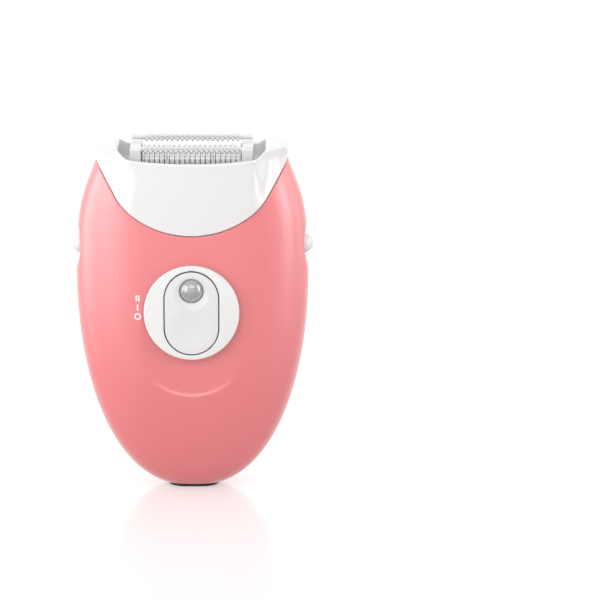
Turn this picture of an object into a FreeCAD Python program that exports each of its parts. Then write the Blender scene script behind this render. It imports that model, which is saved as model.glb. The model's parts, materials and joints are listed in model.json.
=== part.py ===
"""A hand-held epilator as an assembly of separate solids, in millimetres.

Frame: +Z up along the handle, from the power inlet at the bottom to the tweezer drum at the top.
-Y is the front, where the switch is, and +X is to the right of someone who looks at the front.
The origin is the middle of the inlet's mouth. Every solid is drawn where it sits in the assembly at rest:
switch off, release buttons out, head latched on the handle.
"""
import FreeCAD
import Part

import math
import os

from FreeCAD import Matrix, Vector

# ---- driving dimensions: handle ----
HALF_WIDTH = 38.6          # widest half width of the handle
WIDEST_Z = 74.0            # height where it is widest
FRONT_DEPTH = 19.2         # deepest front and back reach from the parting plane
BACK_DEPTH = 21.4
DEEPEST_Z = 48.0
TIP_Z = -0.6               # height where the lower curves would close to a point
BODY_FOOT_Z = 0.8          # the round tip is cut flat here, above the inlet's collar
BODY_TOP_Z = 114.0
SECTION_POWER = 2.3        # squareness of the superellipse sections
WALL = 2.0
SHELL_GAP = 0.05           # parting gap between the two shells, each side of y = 0

# ---- driving dimensions: seam between handle and head, seen from the front ----
SEAM_LOW_Z = 88.9
SEAM_ARC_X = 22.0          # the middle arc of the seam ends here
SEAM_ARC_Z = 97.3
SEAM_SLOPE_DEG = 59.4      # the seam's straight ends rise at this angle
SEAM_BEND_CHORD = 5.0
SEAM_END_X = 46.0

# ---- driving dimensions: head ----
HEAD_PROUD = 0.6           # the head's skin stands proud of the handle's by this much
HEAD_HALF_WIDTH = 31.8
HEAD_WALL = 1.7
RIM_Z = 113.7              # front and back rim of the head's opening
EAR_TOP_Z = 117.7
EAR_FALL = 2.6             # the ears' tops fall by this much towards front and back
BASIN_HALF_X = 24.3        # the opening between the ears
BULGE = 3.7                # the middle of the head stands further out than the ears

# ---- driving dimensions: tweezer drum and rollers ----
DRUM_Z = 108.3
DRUM_HALF_LENGTH = 16.3
DRUM_CAP = 0.35            # thickness of the drum's end caps
MODULES = 19               # lobed discs, each with its pair of tweezer plates
LOBES = 8
LOBE_TURN = math.radians(9.4)
DRUM_CORE_R = 5.2
LOBE_R = 8.45              # tips and valleys of the lobed discs
LOBE_VALLEY_R = 6.7
TWEEZER_R = 8.6
TWEEZER_VALLEY_R = 7.4
PLATE = 0.20               # thickness of a tweezer plate
TWEEZER_GAP = 0.30
CLOSING_ROD_R = 0.4
CLOSING_ROD_REACH = 6.0    # distance of the closing rods from the drum's axis
ROLLER_Y = 7.7             # the rollers lie above the drum, in front and behind
FRONT_ROLLER_Z = 116.0
REAR_ROLLER_Z = 117.0
ROLLER_BAR_R = 0.85
ROLLER_NUB_R = 1.45
BLOCK_X0 = 16.6            # bearing blocks at both ends of the drum
BLOCK_X1 = 20.3

# ---- driving dimensions: gear train ----
MODULE_SPUR = 0.8
MODULE_CROWN = 0.7
DRUM_TEETH = 16
TRANSFER_TEETH = 12
OUTPUT_TEETH = 24
CROWN_PINION_TEETH = 12
CROWN_TEETH = 30
MOTOR_PINION_TEETH = 10
MOTOR_Y = 4.5              # the motor and the crown shaft sit behind the drum's axis
GEAR_X0 = 17.5
GEAR_X1 = 19.3
SHAFT_R = 1.0

# ---- driving dimensions: switch ----
SWITCH_Z = 63.6
SWITCH_TILT = math.atan(0.06)   # the switch slides along a line that leans back
SWITCH_FOOT = 18.95        # distance of the disc's underside from the parting plane, at SWITCH_Z
SWITCH_R = 15.75
SWITCH_TRAVEL = 6.0
INLAY_HALF_WIDTH = 9.1
INLAY_HALF_HEIGHT = 14.0
INLAY_GAP = 0.15
DISC_TOP = 2.9             # crown of the disc above its mounting plane
INLAY_FLOOR = 1.0
LENS_V = 7.4               # height of the light lens above the switch's centre
LENS_R = 3.9
LENS_RING_R = 6.2
DIMPLE_V = -7.9
DIMPLE_BALL_R = 46.0

# ---- driving dimensions: release buttons ----
BUTTON_Z = 82.8
BUTTON_R = 3.35
BUTTON_X = 36.9            # centre of the knob's round end
BUTTON_TRAVEL = 1.8

# ---- driving dimensions: power inlet ----
INLET_HALF_X = 6.5         # half size of the recess the plug goes into
INLET_HALF_Y = 3.7
INLET_WALL = 0.9
INLET_DEPTH = 9.4
PIN_X = 3.3
PIN_R = 0.75
PIN_ROOT_R = 1.05          # thicker root of each pin, held in the inlet's floor
PIN_LENGTH = 7.0

# ---- worked out from the driving dimensions ----
TRANSFER_Z = DRUM_Z - MODULE_SPUR * (DRUM_TEETH + TRANSFER_TEETH) / 2
OUTPUT_Z = TRANSFER_Z - MODULE_SPUR * (TRANSFER_TEETH + OUTPUT_TEETH) / 2
CROWN_REACH = MODULE_SPUR * (OUTPUT_TEETH + CROWN_PINION_TEETH) / 2
CROWN_Z = OUTPUT_Z - math.sqrt(CROWN_REACH ** 2 - MOTOR_Y ** 2)
CROWN_R = MODULE_CROWN * CROWN_TEETH / 2
PINION_R = MODULE_CROWN * MOTOR_PINION_TEETH / 2
PINION_Z = CROWN_Z - CROWN_R
MOTOR_TOP_Z = PINION_Z - 4.0
MOTOR_BOTTOM_Z = MOTOR_TOP_Z - 30.8
MODULE_PITCH = 2 * (DRUM_HALF_LENGTH - DRUM_CAP) / MODULES
LOBED_DISC = MODULE_PITCH - 2 * PLATE - TWEEZER_GAP - 0.04
SIDES = (-1, 1)


# ---- basic solids ----
def box(x0, x1, y0, y1, z0, z1):
    return Part.makeBox(x1 - x0, y1 - y0, z1 - z0, Vector(x0, y0, z0))


def rod_x(radius, x0, x1, y, z):
    return Part.makeCylinder(radius, x1 - x0, Vector(x0, y, z), Vector(1, 0, 0))


def rod_y(radius, y0, y1, x, z):
    return Part.makeCylinder(radius, y1 - y0, Vector(x, y0, z), Vector(0, 1, 0))


def rod_z(radius, z0, z1, x, y):
    return Part.makeCylinder(radius, z1 - z0, Vector(x, y, z0), Vector(0, 0, 1))


def ball(radius, x, y, z):
    return Part.makeSphere(radius, Vector(x, y, z))


def prism(points, direction):
    """A straight-sided solid: the closed polygon through points, pushed along direction."""
    wire = Part.makePolygon(points + [points[0]])
    return Part.Face(wire).extrude(direction)


def prism_x(outline, x0, x1):
    return prism([Vector(x0, y, z) for y, z in outline], Vector(x1 - x0, 0, 0))


def stadium(half_length, half_width, z0, z1):
    """An upright block with round ends, longer along X."""
    flat = half_length - half_width
    middle = box(-flat, flat, -half_width, half_width, z0, z1)
    ends = [rod_z(half_width, z0, z1, side * flat, 0) for side in SIDES]
    return middle.multiFuse(ends).removeSplitter()


def mirrored(shape):
    """The same shape on the other side of the x = 0 plane."""
    return shape.mirror(Vector(0, 0, 0), Vector(1, 0, 0))


def both_sides(shape):
    return [shape, mirrored(shape)]


# ---- the handle's skin ----
def lower_curve(z, widest_z, size, wall):
    """Half size of the round lower part at height z, taken in by the wall."""
    reach = (widest_z - TIP_Z) - wall
    ratio = min(1.0, (widest_z - z) / reach)
    return (size - wall) * (1 - ratio ** 2.1) ** (1 / 2.3)


def half_width(z, wall=0.0):
    if z <= WIDEST_Z:
        return lower_curve(z, WIDEST_Z, HALF_WIDTH, wall)
    return HALF_WIDTH - wall - 0.95 * ((z - WIDEST_Z) / 17.4) ** 2.5


def depth(z, size, fall, wall=0.0):
    """Reach of the skin from the parting plane at height z."""
    if z <= DEEPEST_Z:
        return lower_curve(z, DEEPEST_Z, size, wall)
    return size - wall - fall * ((z - DEEPEST_Z) / 62) ** 1.8


def front_depth(z, wall=0.0):
    return depth(z, FRONT_DEPTH, 5.2, wall)


def back_depth(z, wall=0.0):
    return depth(z, BACK_DEPTH, 7.3, wall)


def signed_power(value, power):
    return math.copysign(abs(value) ** power, value)


def section(z, width, front, back, bulge=0.0):
    """A closed smooth curve at height z: a superellipse whose middle may stand out by bulge."""
    points = []
    steps = 60
    for k in range(steps):
        turn = 2 * math.pi * k / steps
        x = width * signed_power(math.cos(turn), 2 / SECTION_POWER)
        reach = back if math.sin(turn) >= 0 else front
        y = reach * signed_power(math.sin(turn), 2 / SECTION_POWER)
        share = min(1.0, max(0.0, (26.5 - abs(x)) / 7.0))
        y += math.copysign(bulge * share * share * (3 - 2 * share), y)
        points.append(Vector(x, y, z))
    curve = Part.BSplineCurve()
    curve.interpolate(points, PeriodicFlag=True)
    return Part.Wire(curve.toShape())


def body_solid(foot_z, wall=0.0):
    """The handle's outer form, or the space inside its wall."""
    spans = 15
    sections = []
    for k in range(spans + 1):
        z = foot_z + (BODY_TOP_Z - foot_z) * (k / spans) ** 2
        sections.append(section(z, half_width(z, wall), front_depth(z, wall), back_depth(z, wall)))
    return Part.makeLoft(sections, True, False)


# ---- the seam and the head's outline, seen from the front ----
def seam_edges(drop):
    """The U-shaped seam from left to right, lowered by drop. Its middle is an arc that bends into two straight ends."""
    rise = SEAM_ARC_Z - SEAM_LOW_Z
    radius = (SEAM_ARC_X ** 2 + rise ** 2) / (2 * rise)
    start = math.asin(SEAM_ARC_X / radius)
    end = math.radians(SEAM_SLOPE_DEG)
    along = (start + end) / 2
    x1, z1 = SEAM_ARC_X, SEAM_ARC_Z - drop
    x3 = x1 + SEAM_BEND_CHORD * math.cos(along)
    z3 = z1 + SEAM_BEND_CHORD * math.sin(along)
    sag = SEAM_BEND_CHORD / 2 * math.tan((end - start) / 4)
    x2 = (x1 + x3) / 2 + sag * math.sin(along)
    z2 = (z1 + z3) / 2 - sag * math.cos(along)
    x4 = SEAM_END_X
    z4 = z3 + (x4 - x3) * math.tan(end)

    def at(x, z):
        return Vector(x, 0, z)

    return [
        Part.LineSegment(at(-x4, z4), at(-x3, z3)).toShape(),
        Part.Arc(at(-x3, z3), at(-x2, z2), at(-x1, z1)).toShape(),
        Part.Arc(at(-x1, z1), at(0, SEAM_LOW_Z - drop), at(x1, z1)).toShape(),
        Part.Arc(at(x1, z1), at(x2, z2), at(x3, z3)).toShape(),
        Part.LineSegment(at(x3, z3), at(x4, z4)).toShape(),
    ]


def above_seam(drop, half_reach=40.0):
    """Everything above the seam lowered by drop."""
    edges = seam_edges(drop)
    left = edges[0].Vertexes[0].Point
    right = edges[-1].Vertexes[-1].Point
    top = 160.0
    edges.append(Part.LineSegment(right, Vector(right.x, 0, top)).toShape())
    edges.append(Part.LineSegment(Vector(right.x, 0, top), Vector(left.x, 0, top)).toShape())
    edges.append(Part.LineSegment(Vector(left.x, 0, top), left).toShape())
    face = Part.Face(Part.Wire(Part.__sortEdges__(edges)))
    face.translate(Vector(0, -half_reach, 0))
    return face.extrude(Vector(0, 2 * half_reach, 0))


# ---- switch frame: X, along the slide, and out of the front ----
def to_switch(shape):
    """Moves a solid drawn flat, with its slide along +Y and its face towards +Z, onto the front of the handle."""
    s, c = math.sin(SWITCH_TILT), math.cos(SWITCH_TILT)
    matrix = Matrix(1, 0, 0, 0, 0, s, -c, -SWITCH_FOOT, 0, c, s, SWITCH_Z, 0, 0, 0, 1)
    return shape.transformed(matrix)


def upright_stadium(half_width_, half_height, z0, z1, v=0.0):
    """A block with round top and bottom ends in the switch's flat frame."""
    flat = half_height - half_width_
    middle = box(-half_width_, half_width_, v - flat, v + flat, z0, z1)
    ends = [rod_z(half_width_, z0, z1, 0, v + side * flat) for side in SIDES]
    return middle.multiFuse(ends).removeSplitter()


# ---- gears and lobed outlines ----
def gear_outline(teeth, module, phase, backlash, addendum=0.8, dedendum=1.15):
    """Points of a spur gear with involute flanks; the first tooth is centred on the angle phase."""
    pitch_r = module * teeth / 2
    base_r = pitch_r * math.cos(math.radians(20))
    tip_r = pitch_r + addendum * module
    root_r = pitch_r - dedendum * module

    def involute(radius):
        roll = math.acos(min(1.0, base_r / max(radius, base_r)))
        return math.tan(roll) - roll

    half_thick = math.pi / (2 * teeth) - backlash / (2 * pitch_r)
    radii = [root_r] + [base_r + (tip_r - base_r) * k / 3 for k in range(4)]
    points = []
    for tooth in range(teeth):
        middle = phase + 2 * math.pi * tooth / teeth
        rising = []
        for radius in radii:
            half = half_thick + involute(pitch_r) - involute(radius)
            if radius < base_r:
                half = min(half, math.pi / (2 * teeth)) * 0.92
            rising.append((radius, half))
        points += [(r * math.cos(middle - h), r * math.sin(middle - h)) for r, h in rising]
        points += [(r * math.cos(middle + h), r * math.sin(middle + h)) for r, h in reversed(rising)]
    return points


def spur_gear(teeth, x0, x1, y, z, phase, backlash=0.16):
    outline = gear_outline(teeth, MODULE_SPUR, phase, backlash)
    return prism_x([(y + a, z + b) for a, b in outline], x0, x1)


def meshing_phase(teeth_a, phase_a, teeth_b, direction):
    """Phase of gear b so that its gap meets a tooth of gear a, seen from a along direction."""
    offset = (phase_a - direction) % (2 * math.pi / teeth_a)
    return direction + math.pi - offset * teeth_a / teeth_b + math.pi / teeth_b


def lobed_prism(valley_r, tip_r, lobes, x0, x1, y, z, turn, missing=()):
    """A disc across X whose edge waves between two radii; the lobes listed as missing stay low."""
    points = []
    steps = 8 * lobes
    for k in range(steps):
        angle = 2 * math.pi * k / steps
        swell = (1 + math.cos(lobes * angle)) / 2
        if round(k / 8) % lobes in missing:
            swell *= 0.15
        radius = valley_r + (tip_r - valley_r) * swell
        points.append(Vector(x0, y + radius * math.cos(angle + turn), z + radius * math.sin(angle + turn)))
    curve = Part.BSplineCurve()
    curve.interpolate(points, PeriodicFlag=True)
    return Part.Face(Part.Wire(curve.toShape())).extrude(Vector(x1 - x0, 0, 0))


def coil_spring(mean_r, wire_r, x0, x1, y, z, turns):
    """A coil along X between two faces; each turn is drawn as twelve short straight runs of round wire."""
    length = x1 - x0 - 2 * wire_r
    count = 12 * turns
    points = []
    for k in range(count + 1):
        angle = math.pi * k / 6
        place = Vector(length * k / count + wire_r, mean_r * math.cos(angle), mean_r * math.sin(angle))
        points.append(Vector(x0, y, z) + place)
    start = Part.Wire(Part.makeCircle(wire_r, points[0], points[1] - points[0]))
    return Part.makePolygon(points).makePipeShell([start], True, False, 1)


def lead(points, radius):
    """A round wire through points, with round corners."""
    pieces = []
    for a, b in zip(points, points[1:]):
        pieces.append(Part.makeCylinder(radius, (b - a).Length, a, b - a))
    pieces += [Part.makeSphere(radius, p) for p in points[1:-1]]
    return pieces[0].multiFuse(pieces[1:])


def screw(tip, axis, length, shank_r, head_r, head):
    """A pan-head screw with a cross slot; tip is the far end of the shank and axis points at the head."""
    shank = Part.makeCylinder(shank_r, length, tip, axis)
    neck = tip + axis * length
    cap = Part.makeCylinder(head_r, head, neck, axis)
    across = Vector(1, 0, 0)
    other = axis.cross(across)
    slots = []
    for u, v in ((across, other), (other, across)):
        corner = neck + axis * (head * 0.45) - u * (head_r * 0.62) - v * (head_r * 0.12)
        slots.append(prism([corner, corner + u * (head_r * 1.24), corner + u * (head_r * 1.24) + v * (head_r * 0.24),
                            corner + v * (head_r * 0.24)], axis * head))
    return shank.fuse(cap).cut(slots[0].fuse(slots[1]))


# ---- handle: shells and seat deck ----
SCALLOP_X = 36.9           # deepest point of the thumb scallop around each release button
SCALLOP_R = 21.0           # its curve seen from the front
SCALLOP_SWEEP_R = 60.0     # its gentler curve from front to back
SCALLOP_SKIN = 1.7
PEG_PLACES = [(31.0, 58.0), (17.0, 14.5)]
CHASSIS_SCREW_PLACES = [(24.0, 46.0), (25.5, 70.0)]
CHASSIS_FACE_Y = -8.8
CHASSIS_PLATE = 1.6
SEAM_GAP = 0.3             # the handle's upper edge stays this far below the head's edge
DECK_DROP = 1.4            # the seat deck lies below the seam
DECK_THICK = 1.6
DECK_SCREW_PLACES = [(0.0, -9.6), (-2.4, 9.6)]
TAB_X0 = 27.4              # latch tabs that hang from the head into the handle
TAB_X1 = 29.2
TAB_HALF_Y = 4.0
TAB_FOOT_Z = 92.6
LATCH_Z0 = 95.0
LATCH_Z1 = 97.2
GUIDE_X0 = 27.6            # ribs that guide the release buttons
GUIDE_X1 = 29.2


def tilted_slab(z0, z1):
    """Everything between the seam raised by z0 and the seam raised by z1."""
    return above_seam(-z0).cut(above_seam(-z1))


def scallop(side, skin):
    """The ring-shaped cutter whose inner side makes the scallop, made fatter by skin."""
    reach = SCALLOP_X + SCALLOP_R + SCALLOP_SWEEP_R
    return Part.makeTorus(SCALLOP_SWEEP_R, SCALLOP_R + skin, Vector(side * reach, 0, BUTTON_Z), Vector(0, 0, 1))


def inner_space():
    hollow = body_solid(BODY_FOOT_Z + WALL, WALL)
    for side in SIDES:
        hollow = hollow.cut(scallop(side, SCALLOP_SKIN))
    return hollow


def handle_skin(inner):
    outer = body_solid(BODY_FOOT_Z)
    for side in SIDES:
        outer = outer.cut(scallop(side, 0.0))
    skin = outer.cut(inner).cut(above_seam(SEAM_GAP))
    cutters = [stadium(INLET_HALF_X + INLET_WALL + 0.05, INLET_HALF_Y + INLET_WALL + 0.05, -1, 6)]
    cutters += both_sides(rod_x(BUTTON_R + 0.15, 30, 45, 0, BUTTON_Z))
    return skin.cut(cutters[0].multiFuse(cutters[1:]))


def switch_recess():
    """A shallow round dish below the switch; its floor comes out to the skin towards the top."""
    dish = rod_z(20.0, -0.9, 4.0, 0, -8.6)
    dish.rotate(Vector(0, 14, 0), Vector(1, 0, 0), 2.2)
    return to_switch(dish)


def front_shell(skin):
    shell = skin.common(box(-60, 60, -40, -SHELL_GAP, -5, 130))
    slot = box(-3.3, 3.3, -4.4, 4.4 + SWITCH_TRAVEL, -6, 4)
    shell = shell.cut(to_switch(slot)).cut(switch_recess())
    inner = INNER_SPACE
    for x, z in PEG_PLACES:
        for side in SIDES:
            socket = rod_y(3.0, -22, -SHELL_GAP - 1.0, side * x, z).common(inner)
            shell = shell.fuse(socket)
    for x, z in PEG_PLACES:
        for side in SIDES:
            shell = shell.cut(rod_y(1.65, -5.2, 1, side * x, z))
    return shell


def back_shell(skin):
    shell = skin.common(box(-60, 60, SHELL_GAP, 40, -5, 130))
    inner = INNER_SPACE
    additions = []
    for side in SIDES:
        for x, z in PEG_PLACES:
            additions.append(rod_y(3.0, SHELL_GAP - 1.0, 22, side * x, z).common(inner))
            additions.append(rod_y(1.6, -4.8, 3.0, side * x, z))
        for x, z in CHASSIS_SCREW_PLACES:
            boss = rod_y(2.6, CHASSIS_FACE_Y + CHASSIS_PLATE, 24, side * x, z).common(inner)
            additions.append(boss)
        x0, x1 = sorted((side * GUIDE_X0, side * GUIDE_X1))
        rib = box(x0, x1, -3.4, 24, 79.0, 86.6).common(inner)
        additions.append(rib)
    shell = shell.multiFuse(additions)
    cutters = []
    for side in SIDES:
        cutters.append(rod_x(1.65, *sorted((side * 26.0, side * 30.0)), 0, BUTTON_Z))
        for x, z in CHASSIS_SCREW_PLACES:
            cutters.append(rod_y(1.0, CHASSIS_FACE_Y, 1.5, side * x, z))
    return shell.cut(cutters[0].multiFuse(cutters[1:]))


def seat_deck():
    inner = body_solid(BODY_FOOT_Z + WALL, WALL + 0.1)
    deck = tilted_slab(-DECK_DROP - DECK_THICK, -DECK_DROP).common(inner)
    cutters = [box(GEAR_X0 - 0.7, BLOCK_X1 + 0.5, -7.6, 7.6, 80, 110)]
    for side in SIDES:
        cutters.append(box(*sorted((side * 22.9, side * 29.8)), -TAB_HALF_Y - 0.4, TAB_HALF_Y + 0.4, 80, 120))
    for x, y in DECK_SCREW_PLACES:
        cutters.append(rod_z(1.05, 80, 95, x, y))
        cutters.append(rod_z(2.1, SEAM_LOW_Z - DECK_DROP, 95, x, y))
    return deck.cut(cutters[0].multiFuse(cutters[1:]))


def deck_screws():
    top = SEAM_LOW_Z - DECK_DROP
    return [screw(Vector(x, y, top - 7.0), Vector(0, 0, 1), 7.0, 1.0, 1.9, 1.1) for x, y in DECK_SCREW_PLACES]


# ---- handle: chassis, board and motor ----
MOTOR_R = 12.1
MOTOR_HALF_FLAT = 9.15
BOARD_Y0 = -11.8
BOARD_Y1 = -10.2
BOARD_HALF_X = 15.0
BOARD_Z0 = 32.0
BOARD_Z1 = 76.0
BOARD_SCREW_PLACES = [(-12.0, 36.0), (12.0, 36.0), (-12.0, 72.0), (12.0, 72.0)]
WALL_MID = (14.9, 16.7)    # walls of the chassis across X that carry the gear shafts
WALL_RIGHT = (20.1, 21.9)
WALL_LEFT = (-3.4, -1.6)


def motor_form(radius, half_flat, z0, z1):
    round_part = rod_z(radius, z0, z1, 0, MOTOR_Y)
    return round_part.common(box(-30, 30, MOTOR_Y - half_flat, MOTOR_Y + half_flat, z0, z1))


def chassis():
    face, back = CHASSIS_FACE_Y, CHASSIS_FACE_Y + CHASSIS_PLATE
    plate_top = MOTOR_TOP_Z + 1.8
    pieces = [
        box(-17, 17, face, back, 26, 84),
        box(-17, WALL_RIGHT[1], back - 0.2, 14.6, MOTOR_TOP_Z, plate_top),
        box(-15.5, 15.5, back - 0.2, 12.0, MOTOR_BOTTOM_Z + 6, MOTOR_BOTTOM_Z + 7.8),
        box(*WALL_MID, back - 0.2, 10.5, plate_top - 0.2, 88),
        box(*WALL_RIGHT, face, 10.5, plate_top - 0.2, 88),
        box(*WALL_LEFT, back - 0.2, 12.0, PINION_Z + 3.0, 82),
        box(*WALL_MID, 10.0, 12.6, plate_top - 0.2, 74),
        box(*WALL_RIGHT, 10.0, 12.6, plate_top - 0.2, 74),
        rod_z(2.5, 76, SEAM_LOW_Z - DECK_DROP - DECK_THICK, *DECK_SCREW_PLACES[0]),
        rod_z(2.4, 70, SEAM_LOW_Z - DECK_DROP - DECK_THICK, *DECK_SCREW_PLACES[1]),
    ]
    for x, z in BOARD_SCREW_PLACES:
        pieces.append(rod_y(2.1, BOARD_Y1, back, x, z))
    for x, z in CHASSIS_SCREW_PLACES:
        for side in SIDES:
            pieces.append(box(*sorted((side * 15.0, side * (x + 3.0))), face, back, z - 3, z + 3))
    frame = pieces[0].multiFuse(pieces[1:])
    cutters = [
        motor_form(MOTOR_R + 0.05, MOTOR_HALF_FLAT + 0.05, MOTOR_BOTTOM_Z, MOTOR_TOP_Z),
        rod_z(4.8, MOTOR_TOP_Z - 1, plate_top + 1, 0, MOTOR_Y),
        rod_x(SHAFT_R, -4, 30, MOTOR_Y, CROWN_Z),
        rod_x(3.1, 14, 17, MOTOR_Y, CROWN_Z),
        rod_x(SHAFT_R, 14, 30, 0, OUTPUT_Z),
        rod_z(1.0, 79, 95, *DECK_SCREW_PLACES[0]),
        rod_z(1.0, 79, 95, *DECK_SCREW_PLACES[1]),
    ]
    for x, z in BOARD_SCREW_PLACES:
        cutters.append(rod_y(0.9, -12, back - 0.4, x, z))
    for x, z in CHASSIS_SCREW_PLACES:
        for side in SIDES:
            cutters.append(rod_y(1.05, -12, 0, side * x, z))
    return frame.cut(cutters[0].multiFuse(cutters[1:])).removeSplitter()


def chassis_screws():
    screws = []
    for x, z in CHASSIS_SCREW_PLACES:
        for side in SIDES:
            neck = CHASSIS_FACE_Y
            screws.append(screw(Vector(side * x, neck + 9.0, z), Vector(0, -1, 0), 9.0, 1.0, 2.0, 1.3))
    return screws


def board_screws():
    return [screw(Vector(x, BOARD_Y0 + 4.1, z), Vector(0, -1, 0), 4.1, 0.9, 1.7, 1.1)
            for x, z in BOARD_SCREW_PLACES]


def circuit_board():
    board = box(-BOARD_HALF_X, BOARD_HALF_X, BOARD_Y0, BOARD_Y1, BOARD_Z0, BOARD_Z1)
    holes = [rod_y(0.95, -13, -9, x, z) for x, z in BOARD_SCREW_PLACES]
    return board.cut(holes[0].multiFuse(holes[1:]))


def board_components():
    """Rectifier, smoothing capacitor, coil and small chips on the front of the board."""
    face = BOARD_Y0
    items = [rod_y(2.6, face - 2.0, face, -9.5, 46.0), box(6.0, 12.0, face - 1.6, face, 42.0, 47.5)]
    items.append(rod_y(1.8, face - 1.8, face, -10.5, 54.0))
    for k in range(4):
        items.append(box(5.5, 7.5, face - 0.6, face, 52.0 + 2.4 * k, 53.2 + 2.4 * k))
        items.append(box(9.5, 12.5, face - 0.8, face, 52.0 + 2.4 * k, 53.6 + 2.4 * k))
    items.append(box(-5.0, 1.0, face - 1.2, face, 36.0, 40.0))
    return items


def motor_can():
    can = motor_form(MOTOR_R, MOTOR_HALF_FLAT, MOTOR_BOTTOM_Z + 1.6, MOTOR_TOP_Z)
    can = can.cut(motor_form(MOTOR_R - 0.9, MOTOR_HALF_FLAT - 0.9, MOTOR_BOTTOM_Z + 1.6, MOTOR_TOP_Z - 1.0))
    return can.cut(rod_z(1.7, 0, 90, 0, MOTOR_Y))


def motor_end_cap():
    cap = motor_form(MOTOR_R, MOTOR_HALF_FLAT, MOTOR_BOTTOM_Z, MOTOR_BOTTOM_Z + 1.6)
    plug = motor_form(MOTOR_R - 0.95, MOTOR_HALF_FLAT - 0.95, MOTOR_BOTTOM_Z + 1.0, MOTOR_BOTTOM_Z + 2.6)
    boss = rod_z(3.0, MOTOR_BOTTOM_Z - 1.4, MOTOR_BOTTOM_Z + 1.0, 0, MOTOR_Y)
    return cap.multiFuse([plug, boss]).cut(rod_z(1.05, MOTOR_BOTTOM_Z + 0.4, 90, 0, MOTOR_Y))


def motor_magnets():
    ring = rod_z(MOTOR_R - 0.95, MOTOR_BOTTOM_Z + 7, MOTOR_TOP_Z - 4, 0, MOTOR_Y)
    ring = ring.cut(rod_z(8.4, 0, 90, 0, MOTOR_Y))
    return [ring.common(box(*sorted((side * 7.4, side * 20)), MOTOR_Y - 8.1, MOTOR_Y + 8.1, 0, 90)) for side in SIDES]


def motor_shaft():
    return rod_z(SHAFT_R, MOTOR_BOTTOM_Z + 0.6, PINION_Z + 1.9, 0, MOTOR_Y)


def rotor_core():
    core = rod_z(7.7, MOTOR_BOTTOM_Z + 9, MOTOR_TOP_Z - 6, 0, MOTOR_Y)
    slots = []
    for k in range(3):
        slot = box(5.0, 9.0, -0.9, 0.9, 0, 90)
        slot.rotate(Vector(0, 0, 0), Vector(0, 0, 1), 120 * k + 20)
        slot.translate(Vector(0, MOTOR_Y, 0))
        slots.append(slot)
    core = core.cut(slots[0].multiFuse(slots[1:]))
    collector = rod_z(2.6, MOTOR_BOTTOM_Z + 4, MOTOR_BOTTOM_Z + 9, 0, MOTOR_Y)
    return core.fuse(collector).cut(rod_z(SHAFT_R, 0, 90, 0, MOTOR_Y))


def motor_pinion():
    outline = gear_outline(MOTOR_PINION_TEETH, MODULE_CROWN, 0.0, 0.22, 0.75, 1.2)
    z0 = PINION_Z - 1.6
    points = [Vector(a, MOTOR_Y + b, z0) for a, b in outline]
    return prism(points, Vector(0, 0, 3.3)).cut(rod_z(SHAFT_R, 0, 90, 0, MOTOR_Y))


def crown_gear(phase):
    """Face-toothed wheel, hub and small spur gear in one piece. The face teeth mesh with the motor's pinion."""
    root_x = PINION_R + 0.75
    tip_x = PINION_R - 0.45
    disc = rod_x(CROWN_R + 0.9, root_x, root_x + 2.0, 0, 0)
    hub = rod_x(2.5, root_x, GEAR_X0, 0, 0)
    spur = spur_gear(CROWN_PINION_TEETH, GEAR_X0, GEAR_X1, 0, 0, phase)
    inner_r, outer_r = CROWN_R - 0.7, CROWN_R + 0.7
    half_pitch = math.pi * CROWN_R / CROWN_TEETH / 2
    slope = math.tan(math.radians(20))
    half_root = half_pitch - 0.13 + (root_x - PINION_R) * slope
    half_tip = half_pitch - 0.13 - (PINION_R - tip_x) * slope
    teeth = []
    for k in range(CROWN_TEETH):
        points = [Vector(root_x + 0.1, -half_root, -inner_r), Vector(tip_x, -half_tip, -inner_r),
                  Vector(tip_x, half_tip, -inner_r), Vector(root_x + 0.1, half_root, -inner_r)]
        tooth = prism(points, Vector(0, 0, inner_r - outer_r))
        tooth.rotate(Vector(0, 0, 0), Vector(1, 0, 0), 360 * (k + 0.5) / CROWN_TEETH)
        teeth.append(tooth)
    wheel = disc.multiFuse([hub, spur] + teeth).cut(rod_x(SHAFT_R + 0.04, -5, 30, 0, 0))
    lightening = []
    for k in range(5):
        angle = 2 * math.pi * (k + 0.5) / 5
        lightening.append(rod_x(2.1, 0, 9, 6.2 * math.cos(angle), 6.2 * math.sin(angle)))
    wheel = wheel.cut(lightening[0].multiFuse(lightening[1:]))
    wheel.translate(Vector(0, MOTOR_Y, CROWN_Z))
    return wheel


def output_gear():
    gear = spur_gear(OUTPUT_TEETH, GEAR_X0, GEAR_X1, 0, OUTPUT_Z, OUTPUT_PHASE)
    gear = gear.fuse(rod_x(2.4, WALL_MID[1] + 0.1, WALL_RIGHT[0] - 0.1, 0, OUTPUT_Z))
    return gear.cut(rod_x(SHAFT_R + 0.04, 10, 30, 0, OUTPUT_Z))


def gear_shafts():
    return [rod_x(SHAFT_R, WALL_LEFT[0], WALL_RIGHT[1], MOTOR_Y, CROWN_Z),
            rod_x(SHAFT_R, WALL_MID[0], WALL_RIGHT[1], 0, OUTPUT_Z)]


def motor_leads():
    start_z = MOTOR_BOTTOM_Z
    leads = []
    for side in SIDES:
        x = side * 8.0
        leads.append(lead([Vector(x, MOTOR_Y - 3, start_z), Vector(x, MOTOR_Y - 3, start_z - 3.5),
                           Vector(x, BOARD_Y1 + 0.5, start_z - 3.5), Vector(x, BOARD_Y1 + 0.6, BOARD_Z0 + 2.0),
                           Vector(x, BOARD_Y1, BOARD_Z0 + 2.0)], 0.55))
    return leads


def inlet_leads():
    leads = []
    for side in SIDES:
        x = side * PIN_X
        leads.append(lead([Vector(x, 0, INLET_DEPTH + 4.0), Vector(x, 0, INLET_DEPTH + 6.0),
                           Vector(x, BOARD_Y1 + 0.6, BOARD_Z0 - 8.0), Vector(x, BOARD_Y1 + 0.6, BOARD_Z0 + 4.0),
                           Vector(x, BOARD_Y1, BOARD_Z0 + 4.0)], 0.55))
    return leads


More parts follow.
